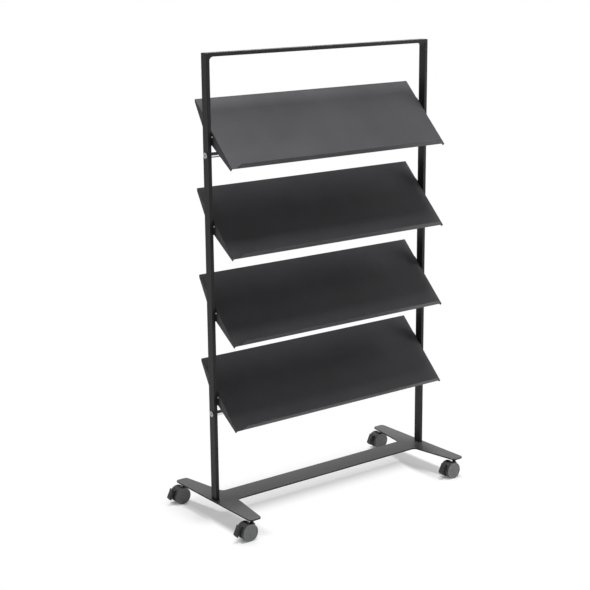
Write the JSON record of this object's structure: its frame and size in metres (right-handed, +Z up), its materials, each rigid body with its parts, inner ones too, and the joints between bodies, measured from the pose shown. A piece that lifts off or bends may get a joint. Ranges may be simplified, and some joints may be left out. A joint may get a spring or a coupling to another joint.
{
  "type": "periodical display rack",
  "caption": "Mobile periodical rack: black steel tube frame with fixed sloping sheet-steel shelves with front lips, chrome cross tubes, H-shaped base plate and swivel casters with brakes",
  "frame": {"origin": "on the floor, under the middle of the bounding box at rest", "axes": "+X to the reader's right, +Y to the back, +Z up; the reader stands on the -Y side and the wheels' axles lie along Y at rest"},
  "size_m": [1.0428, 0.474, 1.6365],
  "materials": {
    "frame_black": "black powder coat with a fine texture",
    "shelf_black": "black powder coat with a fine texture",
    "base_black": "black powder coat with a fine texture",
    "bracket_black": "black powder coat",
    "chrome_tube": "polished",
    "bolt_zinc": "bright zinc plated",
    "screw_zinc": "bright zinc plated",
    "plain_steel": "zinc plated",
    "stem_steel": "black finish",
    "caster_black": "moulded nylon",
    "pedal_black": "moulded nylon",
    "wheel_grey": "moulded nylon"
  },
  "bodies": {
    "rack": {"base_plate": "base_black", "bracket_screws": "plain_steel", "caster_bushes": "stem_steel", "caster_stems": "stem_steel", "cross_tube_bolts": "bolt_zinc", "cross_tube_plugs": "plain_steel", "left_bracket_1": "bracket_black", "left_bracket_2": "bracket_black", "left_bracket_3": "bracket_black", "left_bracket_4": "bracket_black", "left_corner_gusset": "frame_black", "left_upright": "frame_black", "lower_cross_tube": "chrome_tube", "right_bracket_1": "bracket_black", "right_bracket_2": "bracket_black", "right_bracket_3": "bracket_black", "right_bracket_4": "bracket_black", "right_corner_gusset": "frame_black", "right_upright": "frame_black", "shelf_1": "shelf_black", "shelf_2": "shelf_black", "shelf_3": "shelf_black", "shelf_4": "shelf_black", "shelf_nuts": "plain_steel", "shelf_screws": "screw_zinc", "stem_rings": "plain_steel", "top_rail": "frame_black", "upper_cross_tube": "chrome_tube", "upright_foot_plugs": "plain_steel", "upright_foot_screws": "plain_steel"},
    "front_left_swivel": {"front_left_housing": "caster_black", "front_left_axle": "plain_steel", "front_left_pedal_pin": "plain_steel"},
    "front_left_front_wheel": {"front_left_wheel_front": "wheel_grey"},
    "front_left_rear_wheel": {"front_left_wheel_rear": "wheel_grey"},
    "front_left_pedal": {"front_left_brake_pedal": "pedal_black"},
    "front_right_swivel": {"front_right_housing": "caster_black", "front_right_axle": "plain_steel", "front_right_pedal_pin": "plain_steel"},
    "front_right_front_wheel": {"front_right_wheel_front": "wheel_grey"},
    "front_right_rear_wheel": {"front_right_wheel_rear": "wheel_grey"},
    "front_right_pedal": {"front_right_brake_pedal": "pedal_black"},
    "rear_left_swivel": {"rear_left_housing": "caster_black", "rear_left_axle": "plain_steel", "rear_left_pedal_pin": "plain_steel"},
    "rear_left_front_wheel": {"rear_left_wheel_front": "wheel_grey"},
    "rear_left_rear_wheel": {"rear_left_wheel_rear": "wheel_grey"},
    "rear_left_pedal": {"rear_left_brake_pedal": "pedal_black"},
    "rear_right_swivel": {"rear_right_housing": "caster_black", "rear_right_axle": "plain_steel", "rear_right_pedal_pin": "plain_steel"},
    "rear_right_front_wheel": {"rear_right_wheel_front": "wheel_grey"},
    "rear_right_rear_wheel": {"rear_right_wheel_rear": "wheel_grey"},
    "rear_right_pedal": {"rear_right_brake_pedal": "pedal_black"}
  },
  "joints": [
    {"name": "front_left_swivel_turn", "type": "hinge", "parent": "rack", "child": "front_left_swivel", "pos_m": [-0.4486, -0.2115, 0.06], "axis": [0, 0, 1], "continuous": true},
    {"name": "front_left_front_wheel_spin", "type": "hinge", "parent": "front_left_swivel", "child": "front_left_front_wheel", "pos_m": [-0.4689, -0.2115, 0.031], "axis": [0, 1, 0], "continuous": true},
    {"name": "front_left_rear_wheel_spin", "type": "hinge", "parent": "front_left_swivel", "child": "front_left_rear_wheel", "pos_m": [-0.4689, -0.2115, 0.031], "axis": [0, 1, 0], "continuous": true},
    {"name": "front_left_pedal_press", "type": "hinge", "parent": "front_left_swivel", "child": "front_left_pedal", "pos_m": [-0.4979, -0.2115, 0.048], "axis": [0, -1, 0], "range_deg": [0, 14]},
    {"name": "front_right_swivel_turn", "type": "hinge", "parent": "rack", "child": "front_right_swivel", "pos_m": [0.4974, -0.2115, 0.06], "axis": [0, 0, 1], "continuous": true},
    {"name": "front_right_front_wheel_spin", "type": "hinge", "parent": "front_right_swivel", "child": "front_right_front_wheel", "pos_m": [0.4771, -0.2115, 0.031], "axis": [0, 1, 0], "continuous": true},
    {"name": "front_right_rear_wheel_spin", "type": "hinge", "parent": "front_right_swivel", "child": "front_right_rear_wheel", "pos_m": [0.4771, -0.2115, 0.031], "axis": [0, 1, 0], "continuous": true},
    {"name": "front_right_pedal_press", "type": "hinge", "parent": "front_right_swivel", "child": "front_right_pedal", "pos_m": [0.4481, -0.2115, 0.048], "axis": [0, -1, 0], "range_deg": [0, 14]},
    {"name": "rear_left_swivel_turn", "type": "hinge", "parent": "rack", "child": "rear_left_swivel", "pos_m": [-0.4486, 0.2115, 0.06], "axis": [0, 0, 1], "continuous": true},
    {"name": "rear_left_front_wheel_spin", "type": "hinge", "parent": "rear_left_swivel", "child": "rear_left_front_wheel", "pos_m": [-0.4689, 0.2115, 0.031], "axis": [0, 1, 0], "continuous": true},
    {"name": "rear_left_rear_wheel_spin", "type": "hinge", "parent": "rear_left_swivel", "child": "rear_left_rear_wheel", "pos_m": [-0.4689, 0.2115, 0.031], "axis": [0, 1, 0], "continuous": true},
    {"name": "rear_left_pedal_press", "type": "hinge", "parent": "rear_left_swivel", "child": "rear_left_pedal", "pos_m": [-0.4979, 0.2115, 0.048], "axis": [0, -1, 0], "range_deg": [0, 14]},
    {"name": "rear_right_swivel_turn", "type": "hinge", "parent": "rack", "child": "rear_right_swivel", "pos_m": [0.4974, 0.2115, 0.06], "axis": [0, 0, 1], "continuous": true},
    {"name": "rear_right_front_wheel_spin", "type": "hinge", "parent": "rear_right_swivel", "child": "rear_right_front_wheel", "pos_m": [0.4771, 0.2115, 0.031], "axis": [0, 1, 0], "continuous": true},
    {"name": "rear_right_rear_wheel_spin", "type": "hinge", "parent": "rear_right_swivel", "child": "rear_right_rear_wheel", "pos_m": [0.4771, 0.2115, 0.031], "axis": [0, 1, 0], "continuous": true},
    {"name": "rear_right_pedal_press", "type": "hinge", "parent": "rear_right_swivel", "child": "rear_right_pedal", "pos_m": [0.4481, 0.2115, 0.048], "axis": [0, -1, 0], "range_deg": [0, 14]}
  ]
}
